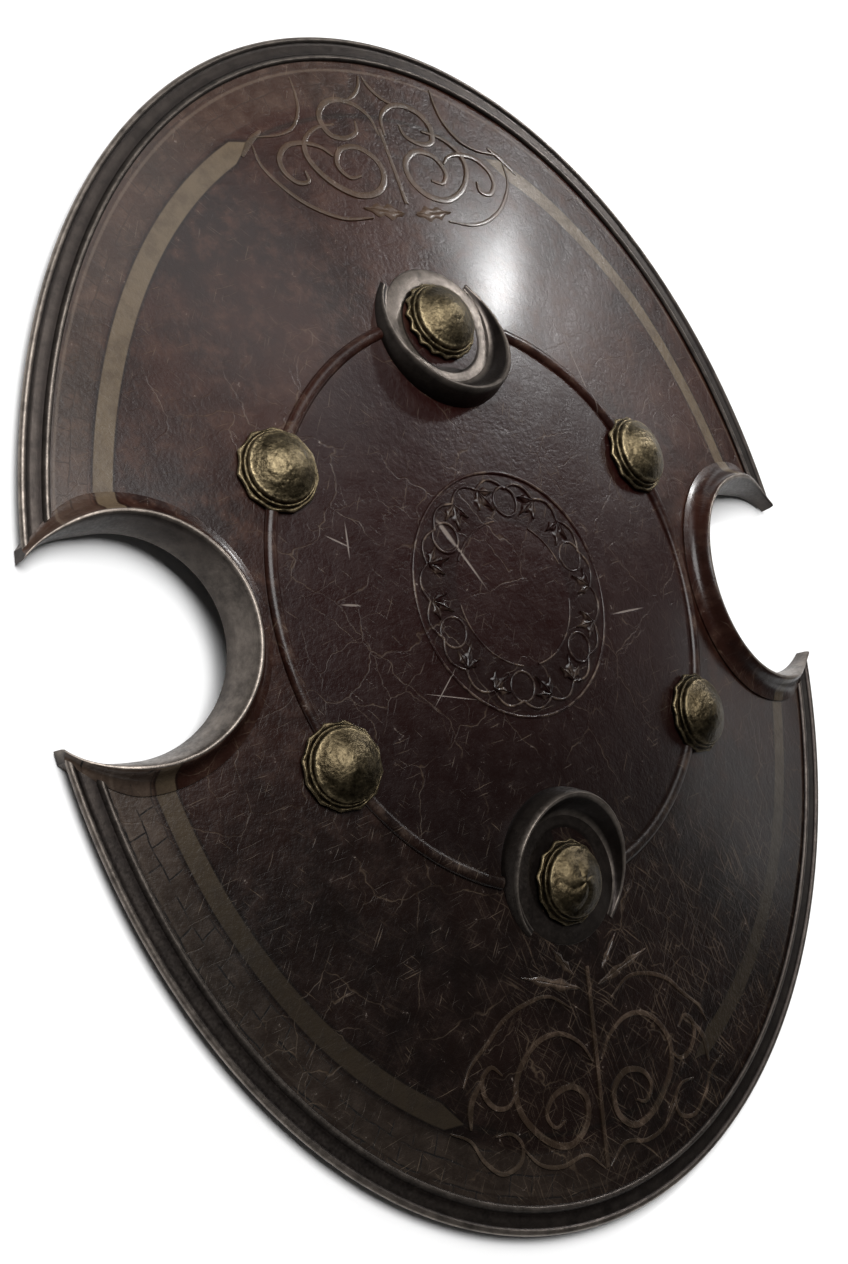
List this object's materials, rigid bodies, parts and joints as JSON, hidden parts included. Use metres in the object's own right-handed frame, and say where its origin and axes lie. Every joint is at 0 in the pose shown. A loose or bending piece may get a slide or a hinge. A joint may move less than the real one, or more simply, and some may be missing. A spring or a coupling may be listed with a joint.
{
  "type": "targe",
  "caption": "Oval domed leather-covered targe with a round cut-out in each side, blackened steel rim, collars and cups, and cast brass bosses.",
  "frame": {"origin": "on the floor under the middle of the dome, where the rim's flat underside lies", "axes": "+X to the right seen from the front, +Y to the top of the shield, +Z out of its front"},
  "size_m": [0.5026, 0.62, 0.0542],
  "materials": {
    "tooled_leather": "worn dark brown, painted tan ornament",
    "blackened_steel": "blackened, edges worn bright",
    "antique_brass": "cast, darkened in the hollows",
    "strap_leather": "plain waxed"
  },
  "bodies": {
    "root": {"board": "tooled_leather", "upper_rim": "blackened_steel", "lower_rim": "blackened_steel", "left_collar": "blackened_steel", "right_collar": "blackened_steel", "upper_cup": "blackened_steel", "lower_cup": "blackened_steel", "top_boss": "antique_brass", "upper_left_boss": "antique_brass", "upper_right_boss": "antique_brass", "lower_left_boss": "antique_brass", "lower_right_boss": "antique_brass", "bottom_boss": "antique_brass", "arm_strap": "strap_leather", "hand_grip": "strap_leather"}
  },
  "joints": []
}
